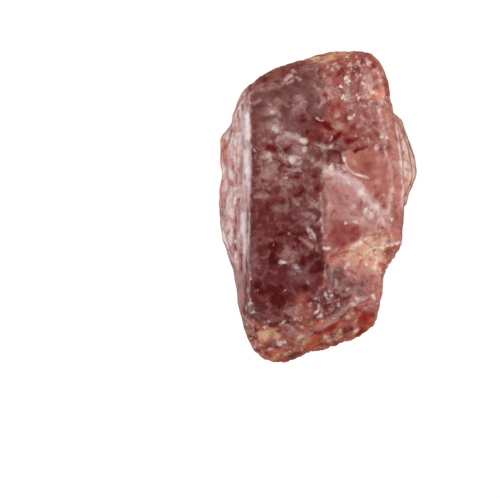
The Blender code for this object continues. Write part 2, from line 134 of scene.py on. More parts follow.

# Marks on the front, in the picture's pixels (500 x 498). Each covers an "area" inside a ring of points,
# ellipses "at" (across, down, half width, half height, and the turn in degrees, if any), or "lines" through
# points with a half "width". Its rim fades over "soft" pixels either way and wanders by "ragged" pixels. The
# rest is what it does there: its tone as seen, and the amount of it; millimetres raised; haze added; how
# crushed the surface is; and layers from 0 to 1. Later marks lie over earlier ones.
# Of the layers, spark sets how thickly painted glints lie, and bright paints a glint itself.
LAYERS = ("spark", "window", "bright", "deep", "calm", "strands")
PIXELS_PER_MM = 28.0
ORIGIN_PIXEL = (318.0, 207.0)
CLEAR = dict(haze=-0.6, raised=-0.02, deep=0.9)  # what the clearest windows share
MARKS = {
    # Broad tones, from the top of the front to its toe.
    "front_top": dict(area=[(246, 96), (262, 90), (282, 86), (300, 66), (322, 60), (330, 92), (324, 118),
        (312, 134), (290, 140), (246, 146)], tone=(132, 91, 89), soft=8, ragged=5, haze=0.15, calm=0.7),
    "top_chamfer": dict(area=[(246, 96), (250, 82), (280, 68), (302, 60), (300, 70), (282, 85), (262, 90)],
        tone=(140, 80, 74), spark=0.4, window=0.3, crushed=0.4, calm=0.4),
    "right_top": dict(area=[(322, 58), (344, 52), (382, 54), (392, 100), (400, 150), (345, 152), (322, 134),
        (330, 112), (322, 90)], tone=(168, 95, 87), soft=7, ragged=5, haze=0.1, spark=0.75, window=0.25,
        calm=0.1),
    "middle": dict(area=[(246, 146), (300, 136), (330, 150), (326, 196), (300, 204), (246, 196)],
        tone=(120, 73, 71), soft=7, ragged=6, haze=0.25, window=0.3, calm=0.4),
    "front_left_edge": dict(lines=[[(253, 118), (254, 150), (255, 185), (252, 215), (249, 250), (247, 310)]],
        width=4.5, tone=(122, 62, 62), amount=0.7, soft=4, ragged=3, calm=0.5),
    "low_front": dict(area=[(244, 194), (300, 200), (324, 196), (326, 250), (325, 274), (316, 312),
        (296, 330), (262, 326), (240, 318), (243, 270)], tone=(112, 57, 59), soft=5, ragged=4, window=0.3,
        calm=0.6),
    "low_brown": dict(at=[(254, 309, 9, 8), (300, 206, 12, 8)], tone=(108, 66, 62), amount=0.7, soft=5,
        ragged=4),
    "low_lilac": dict(at=[(303, 277, 12, 7), (252, 260, 6, 16), (338, 309, 10, 5, -20),
        (328, 317, 8, 4, -20)], tone=(142, 98, 104), amount=0.7, soft=5, ragged=4, calm=0.6),
    "low_orange": dict(area=[(295, 292), (309, 293), (317, 308), (314, 328), (298, 334), (295, 316)],
        tone=(164, 92, 78), amount=0.95, soft=3, ragged=2.5, calm=0.5),
    "upper_facet": dict(area=[(344, 153), (398, 146), (402, 186), (384, 204), (362, 190), (346, 178)],
        tone=(186, 116, 105), soft=3, ragged=3, haze=0.2, calm=0.75),
    "upper_facet_brown": dict(at=[(361, 161, 13, 4, -5)], tone=(184, 124, 102), amount=0.8, soft=4,
        ragged=3),
    "upper_facet_red": dict(at=[(361, 169, 5, 2), (368, 164, 4, 2), (374, 156, 4, 2), (386, 166, 2, 4, -20),
        (392, 178, 5, 3), (394, 170, 5, 7), (352, 180, 8, 3, 20)], tone=(162, 80, 76), amount=0.5, ragged=2),
    "shell": dict(area=[(324, 168), (346, 178), (364, 190), (382, 204), (386, 224), (372, 234), (352, 250),
        (336, 254), (326, 246)], tone=(196, 144, 136), amount=0.98, soft=1.5, haze=0.3, calm=0.5),
    # Painted highlights along the scoop's raised rim, and whiter painted highlights inside it.
    "shell_rim": dict(lines=[[(327, 170), (338, 174), (349, 180), (360, 188), (368, 198), (377, 212)]],
        width=3.5, tone=(228, 202, 197), soft=3, ragged=2.5, haze=0.4, raised=0.03, calm=0.6),
    "shell_pale": dict(at=[(350, 184, 6, 2, -25), (363, 197, 7, 2.6, -50), (372, 206, 6, 3, -35),
        (366, 211, 3, 2.5), (354, 206, 2, 1.6), (370, 216, 4, 2)], tone=(232, 224, 218), soft=2.2, ragged=2,
        spark=0.6),
    "shell_orange": dict(at=[(332, 190, 6, 6), (338, 196, 4, 6, -40), (332, 216, 5, 14)],
        tone=(182, 106, 90), amount=0.5, soft=4, ragged=3),
    "shell_left": dict(lines=[[(325, 182), (324.5, 200), (326, 220), (324.5, 246)]], width=2.6,
        tone=(152, 86, 76), amount=0.8, soft=2.5, ragged=3.5, raised=-0.025, haze=0.4, calm=0.5),
    "shell_low": dict(area=[(326, 221), (346, 219), (360, 226), (364, 236), (350, 247), (338, 254),
        (326, 244)], tone=(146, 42, 34), amount=0.97, soft=4, ragged=3, calm=0.9, haze=0.3),
    "shell_red": dict(at=[(333, 231, 3.5, 3), (353, 228, 4, 2.5, 10), (338, 243, 3, 4, 30),
        (342, 247, 2, 4, 20), (379, 196, 4, 4.5), (382, 206, 2, 6, -20)], tone=(142, 28, 30), deep=0.5,
        soft=2.5),
    "right_low": dict(area=[(384, 200), (403, 186), (404, 246), (390, 244), (378, 232), (386, 222)],
        tone=(190, 122, 112), soft=3, ragged=3, haze=0.2, spark=0.4, calm=0.5),
    # A painted reflection of the key light on the right.
    "right_low_pale": dict(lines=[[(391, 190), (390, 203), (388, 216)]], width=2, tone=(210, 184, 166),
        amount=0.8, ragged=2),
    "right_low_corner": dict(area=[(384, 244), (404, 244), (404, 258), (388, 260)], tone=(166, 84, 76),
        spark=0.4, ragged=3),
    "gold": dict(area=[(362, 238), (376, 228), (390, 238), (386, 262), (376, 276), (350, 268), (340, 254),
        (350, 248)], tone=(232, 184, 152), soft=4, ragged=5, spark=1.0, haze=0.2, crushed=0.6),
    "gold_orange": dict(at=[(361, 262, 2, 4, -20), (366, 267, 3, 3), (385, 234, 3, 3), (392, 236, 4, 2, 20),
        (386, 252, 3, 4)], tone=(192, 92, 64), ragged=2),
    "terrace": dict(area=[(327, 252), (350, 262), (376, 274), (384, 284), (378, 296), (352, 302), (330, 288),
        (334, 268)], tone=(180, 114, 106), soft=5, ragged=5, spark=0.4, haze=0.3, calm=0.4),
    "terrace_salmon": dict(at=[(346, 262, 13, 7, 20), (335, 263, 6, 9)], tone=(214, 156, 136), haze=0.3,
        calm=0.85, soft=4, ragged=4),
    "terrace_grey": dict(at=[(336, 278, 12, 12), (352, 286, 16, 8), (364, 294, 12, 4, -20),
        (330, 292, 12, 8)], tone=(118, 74, 78), amount=0.85, soft=6, ragged=6, haze=0.1, calm=0.6),
    "terrace_red": dict(at=[(368, 288, 6, 6), (340, 276, 2, 3)], tone=(158, 82, 78), amount=0.7, soft=3,
        ragged=2),
    "low_dark": dict(area=[(320, 288), (350, 288), (352, 304), (334, 318), (314, 318), (310, 300)],
        tone=(108, 50, 56), soft=4, ragged=4, haze=0.05, spark=0.4, window=0.3, calm=0.4),
    "right_bevel": dict(area=[(380, 98), (390, 98), (396, 140), (402, 190), (396, 190), (390, 150),
        (380, 140)], tone=(186, 130, 116), soft=3, ragged=2, haze=0.2, calm=0.5),
    "right_bevel_orange": dict(at=[(386, 112, 4, 12, 5), (385, 134, 3.5, 12)], tone=(194, 120, 92),
        amount=0.4, soft=4, ragged=2),
    "right_bevel_mauve": dict(at=[(387, 148, 5, 5), (381, 148, 3, 3)], tone=(158, 92, 88), amount=0.7,
        soft=3, ragged=2),
    # The foot: a lip, then a crushed, rusty underside with gold in it.
    "foot_base": dict(area=[(240, 318), (262, 326), (286, 334), (304, 336), (330, 326), (356, 308),
        (380, 290), (384, 310), (372, 336), (330, 354), (296, 366), (262, 364), (244, 344)],
        tone=(210, 124, 100), amount=0.97, soft=2.5, ragged=2.5, haze=-0.3, spark=0.85, window=0.5,
        crushed=0.7, calm=0.3),
    "lip": dict(lines=[[(292, 334), (304, 337), (318, 329), (332, 320), (348, 306), (366, 299)]], width=3,
        tone=(184, 154, 150), amount=0.8, soft=3, ragged=3.5, raised=0.015, calm=0.4, crushed=0.2),
    "toe": dict(area=[(240, 318), (262, 326), (288, 334), (312, 336), (310, 346), (292, 350), (262, 348),
        (246, 334)], tone=(196, 130, 112), soft=3, ragged=3, spark=0.8, calm=0.3, crushed=0.4),
    "toe_patch": dict(area=[(258, 330), (263, 332), (267, 328), (274, 329), (281, 335), (277, 339),
        (271, 337), (265, 342), (260, 337)], tone=(255, 200, 156), amount=0.95, soft=2.5, ragged=3.5,
        calm=0.8, crushed=0.2, spark=0.4),
    "toe_red": dict(at=[(291, 344, 7, 4), (269, 344, 9, 3, 5)], tone=(152, 72, 66), amount=0.8, soft=2.5,
        ragged=2, calm=0.5),
    "toe_brown": dict(at=[(300, 345, 5, 6), (303, 340, 5, 3, -20)], tone=(200, 156, 128), amount=0.85,
        ragged=2.5, spark=0.8),
    "toe_gold": dict(at=[(261, 352, 5, 3, 20), (274, 358, 7, 3, 12), (289, 354, 5, 2)], tone=(228, 174, 118),
        amount=0.8, ragged=2.5, spark=0.8),
    "toe_rust": dict(lines=[[(256, 349), (266, 352), (270, 356)], [(276, 362), (284, 363), (292, 358),
        (299, 354)], [(262, 349), (267, 348)]], width=2.4, tone=(134, 30, 18), ragged=2, spark=0.2),
    "toe_dark": dict(area=[(249, 333), (257, 337), (257, 341), (250, 341)], tone=(114, 34, 34), soft=1.5),
    "toe_spots": dict(at=[(256, 329, 3.5, 3), (246, 328, 3, 2.5), (279, 330, 4, 2, 10),
        (242.5, 320, 1.2, 1.2), (292, 357, 5, 2.5, -15)], tone=(96, 26, 28), amount=0.8, soft=1.5),
    "foot_orange": dict(at=[(318, 341, 8, 6, -20), (312, 346, 6, 4)], tone=(186, 94, 58), ragged=2.5,
        spark=0.4),
    "foot_gold": dict(area=[(320, 336), (329, 333), (336, 327), (343, 329), (344, 335), (338, 341),
        (330, 344), (323, 342)], tone=(236, 190, 150), ragged=2, spark=0.7, crushed=0.5),
    "foot_red_streak": dict(area=[(312, 332), (322, 330), (332, 324), (340, 321), (338, 327), (330, 332),
        (318, 336)], tone=(158, 48, 32), amount=0.95, soft=1.5, calm=0.5, crushed=0.2, spark=0.1),
    "foot_pink": dict(area=[(340, 322), (348, 314), (358, 308), (360, 316), (352, 330), (350, 338),
        (344, 338), (341, 330)], tone=(186, 116, 104), amount=0.85, ragged=2, spark=0.5, crushed=0.4),
    "foot_red_spots": dict(at=[(345, 333, 3, 5, 10), (351, 329, 2.5, 2.5), (332, 336, 2, 3),
        (356, 310, 2, 4, 20), (326, 344, 6, 2, -10), (336, 343, 5, 1.5, -15)], tone=(124, 24, 24),
        amount=0.85, soft=1.5, spark=0.1),
    "foot_right_pink": dict(area=[(359, 305), (370, 298), (378, 292), (381, 300), (378, 310), (370, 313),
        (361, 312)], tone=(206, 140, 130), ragged=2, spark=0.7, crushed=0.5),
    "foot_rust": dict(area=[(358, 316), (364, 311), (374, 312), (377, 316), (371, 326), (368, 334),
        (360, 337), (353, 338), (356, 328)], tone=(162, 58, 36), amount=0.98, soft=1.5, calm=0.6,
        crushed=0.3, spark=0.15),
    "foot_right_rim": dict(lines=[[(379, 312), (376, 322), (371, 332), (363, 339)]], width=2,
        tone=(172, 116, 118), amount=0.7, ragged=1, calm=0.6),
    # The lump's pale tone is a painted reflection on its steep side.
    "back_lump": dict(area=[(397, 104), (430, 104), (430, 224), (405, 224)], tone=(250, 220, 206), soft=4,
        ragged=4),
    "back_lump_orange": dict(at=[(401, 126, 2.5, 9, 8), (409, 183, 5, 7)], tone=(230, 170, 130), amount=0.8,
        soft=3, ragged=2),
    # The left wall: a smooth pale strip beside the front, and mottled tiers outside it. The pale wall, strip
    # and white lines are a painted reflection of the light from the left.
    "left_wall": dict(area=[(244, 94), (200, 110), (200, 262), (240, 262), (243, 200)], tone=(250, 238, 234),
        soft=3, amount=0.7, strands=0.6),
    "left_strip": dict(area=[(242, 104), (246, 104), (250, 119), (250, 145), (251.5, 162), (251.5, 181),
        (249, 195), (247, 214), (246.5, 245), (245, 272), (241, 280), (238, 262), (238, 240), (240, 200),
        (241, 150), (240, 122)], tone=(208, 188, 186), soft=1.5, ragged=1, calm=0.7, strands=0.15),
    "left_strip_highlight": dict(lines=[[(246, 116), (248, 138)], [(247, 152), (246, 184)], [(243.5, 214),
        (244.5, 252)]], width=1.8, tone=(248, 240, 240), amount=0.85),
    "left_strip_shade": dict(lines=[[(241.5, 157), (241, 170), (240.5, 184)], [(239, 200), (238, 230)]],
        width=1.5, tone=(158, 104, 98), amount=0.8, soft=1.5, ragged=0.8),
    "left_top_rust": dict(lines=[[(243, 97), (238, 104), (234.5, 112)], [(242.5, 105), (242.5, 110)],
        [(238.5, 111), (238, 117)], [(231.5, 129), (230, 138), (227, 146)]], width=1.2, tone=(134, 76, 64),
        amount=0.85, soft=1.2, ragged=0.8),
    "left_lump": dict(at=[(222, 152, 5, 15)], tone=(224, 160, 134), calm=0.5),
    "left_lump_red": dict(at=[(225.5, 145, 1.6, 6), (225, 158, 2.2, 6)], tone=(190, 94, 80), amount=0.85,
        soft=1.5, ragged=1),
    "left_low_pink": dict(at=[(221, 194, 4, 16), (224, 214, 3, 12)], tone=(206, 142, 138), amount=0.8,
        soft=2.5),
    "left_flecks": dict(lines=[[(234, 133), (234, 138)], [(231, 168), (233, 176)], [(236, 172), (237, 179)],
        [(233, 187), (234, 191)], [(230, 196), (231, 206)], [(236, 150), (236, 158)]], width=1.2,
        tone=(236, 222, 214), amount=0.8, soft=1.5, ragged=1),
    "left_low": dict(area=[(232, 266), (244, 268), (244, 284), (242, 300), (240, 316), (238, 330),
        (230, 330)], tone=(184, 142, 138), amount=0.8, soft=3, calm=0.9, strands=0.15),
    "left_slits": dict(lines=[[(236, 206), (235, 228), (234, 240), (235.5, 249)], [(241, 250), (241, 272)]],
        width=1.9, tone=(164, 62, 70), soft=1.5, ragged=1),
    "left_slits_deep": dict(lines=[[(234.5, 230), (235, 238)], [(234, 244), (235, 249)], [(241, 255),
        (241, 269)]], width=1.3, tone=(124, 10, 22), soft=1.2, ragged=0.8),
    "left_outer": dict(lines=[[(223, 246), (230, 262)], [(238, 314), (244, 326)]], width=1.2,
        tone=(116, 40, 38), amount=0.8, soft=1, ragged=0.6),
    # Windows into the deep red inside, and reds where the surface is only half clear.
    "right_veil": dict(at=[(360, 121, 9, 5, -20), (334, 115, 6, 5), (343, 129, 7, 3, -20),
        (366, 146, 10, 3, -10)], tone=(196, 138, 124), amount=0.6, soft=4, ragged=4, calm=0.5, spark=0.6),
    "half_clear": dict(at=[(336, 106, 10, 4, 5), (340, 108, 3, 2, 30), (352, 113, 4, 4), (364, 106, 4, 7),
        (375, 112, 5, 6), (345, 122, 4, 2.5, -40), (350, 134, 12, 3.5, -5), (316, 72, 10, 4),
        (323, 78, 4, 5), (346, 59, 16, 2.2, -3), (367, 136, 3.5, 2.5), (373, 130, 3, 3), (373, 148, 3, 4),
        (318, 126, 9, 6, 20), (337, 66, 4, 3)], tone=(152, 66, 62), amount=0.42, soft=2.5, ragged=2.5,
        calm=0.5),
    "maroon_spots": dict(at=[(254, 163, 3, 6), (253, 180, 3, 5), (254, 97, 4, 3), (263, 96, 5, 2.5),
        (258, 105, 6, 4, -20), (268, 119, 8, 2.5, 5), (280, 93, 9, 1.6, -5), (303, 82, 5, 5),
        (332, 154, 6, 4), (337, 146, 6, 5), (290, 184, 5, 3), (283, 222, 10, 5), (262, 252, 5, 8)],
        tone=(106, 54, 54), amount=0.7, soft=3, ragged=3),
    "window_long": dict(area=[(312, 118), (317, 120), (323, 121), (329, 124), (333, 130), (329, 132),
        (325, 129), (321, 125), (315, 123)], tone=(130, 12, 26), **CLEAR),
    "window_wide": dict(area=[(332, 138), (334, 136), (338, 133), (341, 133), (340, 137), (336, 141),
        (333, 141)], tone=(118, 8, 20), **CLEAR),
    "window_small": dict(area=[(344, 140), (350, 139), (357, 140), (353, 143), (347, 145), (344, 143)],
        tone=(128, 10, 24), haze=-0.6, raised=-0.02, deep=0.85),
    "window_left": dict(area=[(265, 148), (269, 145), (275, 146), (278, 149), (275, 153), (268, 151)],
        tone=(124, 18, 34), soft=1.8, ragged=2, **CLEAR),
    "window_left_long": dict(area=[(280, 145), (284, 144), (290, 148), (298, 154), (300, 157), (291, 156),
        (284, 152)], tone=(118, 16, 32), soft=1.8, ragged=2, **CLEAR),
    "windows_thin": dict(lines=[[(354, 152), (359, 149.5), (366, 147)], [(325, 143), (330, 144)],
        [(281, 165), (289, 167)], [(294, 197), (300, 194), (303, 190)]], width=1.3, tone=(108, 20, 26),
        soft=1.3, haze=-0.6, deep=0.6),
    "windows_small": dict(at=[(301.5, 116, 2, 2.4), (303, 121, 2.4, 1.6), (307, 133, 2.4, 2.6),
        (312, 137, 3, 1.6), (314, 176, 3, 2), (318, 189, 4, 3), (296, 178, 4, 1.6), (265, 81, 2.6, 2.4),
        (278, 83, 4, 2.2), (297, 74, 2.4, 2.6), (336, 297, 2, 1.2)], tone=(118, 22, 30), soft=1.8, haze=-0.5,
        deep=0.5),
    "windows_deep": dict(area=[(306, 272), (311, 267), (316, 261), (326, 262), (329, 267), (319, 271),
        (311, 275)], tone=(98, 4, 14), amount=1, soft=1.5, haze=-0.5, deep=0.95),
    "windows_low": dict(at=[(274, 247, 6, 6), (272, 256, 4, 6), (278, 261, 3, 3), (290, 234, 12, 2),
        (299, 238, 4, 3), (303, 260, 3, 5), (312, 256, 7, 3, 20), (258, 286, 3, 3), (263, 292, 4, 3),
        (274, 289, 6, 4), (278, 301, 7, 8, 30), (304, 287, 4, 3), (269, 316, 3, 2), (274, 324, 4, 3, 30),
        (286, 321, 3, 1.6)], tone=(94, 4, 18), amount=0.95, soft=1.8, ragged=3, haze=-0.4, deep=0.75),
    "window_corner": dict(area=[(348, 291), (350, 293), (348, 300), (344, 305), (340, 306), (341, 301),
        (345, 296)], tone=(124, 38, 36), soft=1.5, deep=0.25),
    "window_lip": dict(lines=[[(330, 302), (326, 308), (322, 312)], [(334, 291), (337, 294)]], width=2.6,
        tone=(112, 34, 44), amount=0.8, soft=2.5),
    "dark_lines": dict(lines=[[(341, 317), (346, 313), (350, 308)], [(360, 303), (366, 301), (370, 298)]],
        width=1, tone=(134, 56, 62), amount=0.85, soft=1.2, ragged=0.8),
    # Pale veils inside, near the surface.
    "veil": dict(at=[(287, 141, 10, 5, 15), (274, 127, 7, 5), (270, 109, 6, 6), (297, 152, 8, 6, 30),
        (299, 104, 6, 8), (268, 157, 5, 4), (326, 147, 9, 3), (348, 98, 3, 8, 10)], tone=(164, 134, 130),
        amount=0.7, soft=4, ragged=4, haze=0.3, calm=0.4),
    "veil_arc": dict(lines=[[(276, 142), (279, 137), (286, 134.5), (294, 137), (299, 141)], [(280, 156),
        (286, 159)], [(290, 160), (294, 157.5), (299, 159), (300, 163), (295, 165.5), (290, 163)],
        [(317, 145), (325, 148), (333, 148)]], width=1.8, tone=(196, 180, 176), amount=0.85, ragged=2.2,
        calm=0.3),
    "veil_white": dict(at=[(304, 142, 4.5, 4, 20), (304, 150, 2.5, 4), (303, 157, 2, 3),
        (291, 161, 2.4, 2.6), (275, 129, 2, 2.6, 30), (270, 158, 1.8, 3, 20), (327, 148, 3, 1.4)],
        tone=(222, 214, 204), soft=1.3, ragged=3.2, haze=0.3, calm=0.3, bright=0.15),
    "veil_middle": dict(at=[(270, 172, 6, 8), (262, 196, 6, 4), (276, 184, 7, 3), (284, 209, 7, 4),
        (296, 205, 3, 6, 20), (304, 214, 6, 3, -10), (312, 204, 5, 4), (320, 165, 8, 3), (286, 250, 4, 5),
        (290, 258, 9, 7), (294, 309, 5, 3)], tone=(170, 134, 130), amount=0.58, soft=2.5, ragged=3.5,
        haze=0.3, calm=0.6),
    "pale_streaks": dict(lines=[[(300, 238), (306, 242), (312, 247)], [(285, 311), (294, 316), (300, 320)],
        [(286, 325), (293, 329)], [(316, 72), (316, 79)], [(276, 100), (288, 107)], [(254, 104), (260, 101)],
        [(274, 110), (280, 116)]], width=1.2, tone=(190, 154, 146), amount=0.75, soft=1.8, ragged=1.2),
    "chamfer_rim": dict(lines=[[(249, 98), (252, 93), (258, 91), (268, 89.5), (274, 87), (281, 87)]],
        width=1.8, tone=(164, 128, 116), amount=0.85, soft=1.5, ragged=1, raised=0.015),
    # Raised rubble on the chamfer, with painted glints on it.
    "chamfer_rubble_glints": dict(lines=[[(282, 85), (286, 80), (291, 77)], [(287, 83.5), (292, 82)], [(296, 78),
        (300, 81)], [(293, 71), (295, 73)]], width=1.3, tone=(214, 190, 170), soft=1.2, ragged=2.2,
        raised=0.02, amount=0.8, bright=0.1),
    "top_gold": dict(area=[(306, 60), (320, 55), (332, 51), (354, 47), (354, 54), (344, 57), (334, 60),
        (320, 63)], tone=(246, 194, 148), ragged=2, calm=0.3, crushed=0.2),
    "top_right_orange": dict(at=[(374, 60, 6, 4, 20), (379, 66, 3, 5), (376, 74, 5, 5)], tone=(190, 110, 88),
        amount=0.7, soft=3, ragged=2),
    "corner": dict(area=[(369, 97), (374, 89), (381, 88), (386, 92), (385, 99), (374, 101)],
        tone=(206, 116, 84), amount=0.95, soft=2.5, ragged=2.5, calm=0.7),
    "corner_pale": dict(at=[(381, 84, 5, 3.5), (369, 88, 4, 3)], tone=(206, 156, 128), amount=0.85,
        ragged=2),
    # Glints, painted as highlights where small faces catch the light, some over raised relief.
    "grey_chain": dict(lines=[[(347, 94), (349, 98), (347, 103), (348, 108)], [(334, 125), (337, 128),
        (341, 127)], [(335, 282), (335, 286)]], width=1.4, tone=(186, 160, 144), amount=0.8, soft=1.5,
        ragged=3),
    "pink_chain": dict(lines=[[(314, 86), (316, 89), (320, 92), (321, 97), (323, 101), (319, 107)],
        [(338, 92), (340, 98), (344, 102)]], width=1.2, tone=(204, 162, 154), amount=0.8, soft=1.2,
        ragged=1.4),
    "small_glints": dict(at=[(334.5, 65, 1.6, 1.2), (338, 68, 1.6, 1), (331, 70.5, 1.2, 1),
        (349, 66, 1.4, 1, 40), (358, 63, 1.2, 1), (364, 66, 2, 1.2, -20), (366, 60, 1.2, 1.2),
        (372, 72, 1, 1.8, -20), (349, 73, 1.6, 1.2), (355, 75, 1, 1.6), (361, 72, 1, 1.2),
        (364, 86, 1.6, 1.4), (361, 84, 1, 1), (365, 96, 1.5, 1.2), (363, 98, 1, 1.4), (367, 98.5, 2, 1, 20),
        (368, 91, 1.4, 1.4), (379, 111, 1, 2.6, -20), (371, 118, 1, 1.6), (336, 116, 1.6, 1.4),
        (369, 105, 1.6, 1.2), (383, 103, 1.6, 1.6), (384, 96, 1, 1.8), (357, 127, 2, 1, -20),
        (368, 131, 2, 1.2), (368, 142, 1.2, 2), (376, 148, 2, 2.4), (272, 113, 1.6, 1.2), (285, 178, 1.6, 1),
        (262, 170, 1.2, 1.6), (293, 262, 1.4, 1), (284, 223, 1, 1), (294, 319, 1, 1.2), (302, 327, 1.6, 1),
        (312, 323, 1.4, 1.4)], tone=(222, 176, 162), amount=0.5, soft=0.8, ragged=1.7, bright=0.35),
    "glint_patches": dict(at=[(325, 294, 1.5, 2.4, 20), (329, 291, 1.2, 1), (331, 296, 1.2, 1.6, -30),
        (328.5, 298.5, 1.4, 1), (315.5, 298, 1.6, 1.2), (338, 304, 1.6, 3.6), (348, 289, 1.4, 1.2),
        (356, 298, 2, 1.2, -40), (353, 304, 2.2, 1.2, -30), (318, 307, 1.2, 3), (348, 317, 2.4, 1.6),
        (353, 314, 1, 1.6), (334, 318, 1.6, 1), (283, 322, 3, 1, 35), (264, 327, 1.4, 1),
        (269, 349.5, 2.4, 0.9), (286, 354, 2.4, 1.4), (302, 349, 1, 2), (300, 337, 3, 1.6, 20),
        (340, 331, 1.6, 2), (325, 337, 2, 1.2), (328, 341, 2.4, 1.2), (372, 306, 1.4, 1),
        (365, 308, 1.2, 1.2), (356, 321, 1.3, 3, -20), (278, 355, 1.2, 0.8)], tone=(226, 196, 176),
        amount=0.4, soft=0.8, raised=0.012, bright=0.6),
    "bright_glints": dict(at=[(345.5, 79, 1.3, 1.2), (371.5, 93, 2.2, 1.8), (381.5, 137, 2.4, 1.8, 30),
        (349.5, 119, 1.6, 2), (331.5, 168, 2.4, 2.8), (326, 248, 2.6, 1.2), (352, 249, 2.8, 1.8),
        (355, 222.5, 3, 1.4, -20), (346, 223, 1.4, 1.6), (383, 243, 2, 1.6, 30), (379, 231, 1.4, 1.6),
        (360, 242, 1.4, 1), (367, 238, 1, 1), (371, 252, 3, 1.6), (375, 256, 2, 1.2), (379, 258, 1.2, 1.2),
        (391, 220, 1, 1.2), (280, 343.5, 2.4, 2.6), (284.5, 341.5, 1.2, 1.6), (255.5, 346.5, 1.6, 1.2),
        (261, 345, 1.8, 1.2), (259, 327, 1.4, 1), (356, 331, 1.2, 3, -25), (374, 297, 1.8, 2.6, 20),
        (315.5, 312, 2, 1.4, 35), (320, 316, 2, 1.1, 15), (284, 262.5, 2.6, 1.2), (366, 209, 1.6, 1.4),
        (370, 213, 1.4, 1.2), (235, 241, 1, 1.4)], tone=(252, 238, 220), amount=0.65, soft=1, ragged=1.8,
        raised=0.015, bright=1),
    "ridge_glints": dict(lines=[[(354, 246), (358, 243)], [(363, 240), (366, 239)], [(386, 246), (392, 244.5)],
        [(395, 243.5), (402, 242.5)], [(371, 244), (374, 248)], [(376, 262), (374, 268)], [(344, 268),
        (347, 264)]], width=0.9, tone=(242, 214, 190), amount=0.6, soft=1, ragged=1.6, raised=0.015,
        bright=1),
    "hair_arc": dict(lines=[[(342, 155), (343, 160), (344, 163), (347, 168), (350, 171.5), (354, 174),
        (360, 176), (368, 178.5)]], width=0.45, tone=(236, 212, 204), amount=0.95, soft=0.8, ragged=0.2,
        raised=0.02, bright=0.4),
    "hair_arc_thick": dict(lines=[[(343, 159), (343.5, 162)], [(356, 175), (366, 177.5)]], width=0.9,
        tone=(244, 228, 220), soft=0.8, ragged=0.2, bright=0.5),
    "lump_rim": dict(lines=[[(395, 116), (397, 132), (399, 146), (401, 160), (403, 175), (403, 210)]],
        width=1.3, tone=(236, 214, 208), soft=1, ragged=0.4, raised=0.01, calm=0.8),
    "lump_tiers": dict(lines=[[(401.5, 148), (403.5, 154)], [(404, 196), (404, 206)]], width=1.0,
        tone=(164, 82, 70), amount=0.8, soft=1, ragged=0.6),
    "lump_tier_white": dict(lines=[[(406.5, 158), (409, 163), (411, 167)], [(411, 176), (413, 183),
        (412, 188)], [(404, 177), (404, 183)]], width=0.9, tone=(246, 216, 202), amount=0.85, soft=0.9,
        ragged=0.4),
}

# Tones of the crystal's sides, and how much of each shows: towards a direction, the tone as seen.
SIDES = {
    # The left side's pale tone is a painted reflection of the light from the left, over strands in the stone.
    "left": dict(towards=(-1, 0, 0.1), tone=(212, 168, 160), amount=0.95, strands=0.9, calm=0.3),
    "right": dict(towards=(1, 0.1, 0), tone=(208, 152, 134), amount=0.85, calm=0.3),
    "foot": dict(towards=(0.25, -1, 0), tone=(208, 120, 84), amount=0.85, spark=0.7, crushed=1.0),
    "top": dict(towards=(0, 1, 0), tone=(196, 122, 98), amount=0.8, spark=0.3, crushed=0.4),
    "under": dict(towards=(0, 0, -1), tone=(178, 108, 98), amount=0.8),
}


# Adding shader nodes.


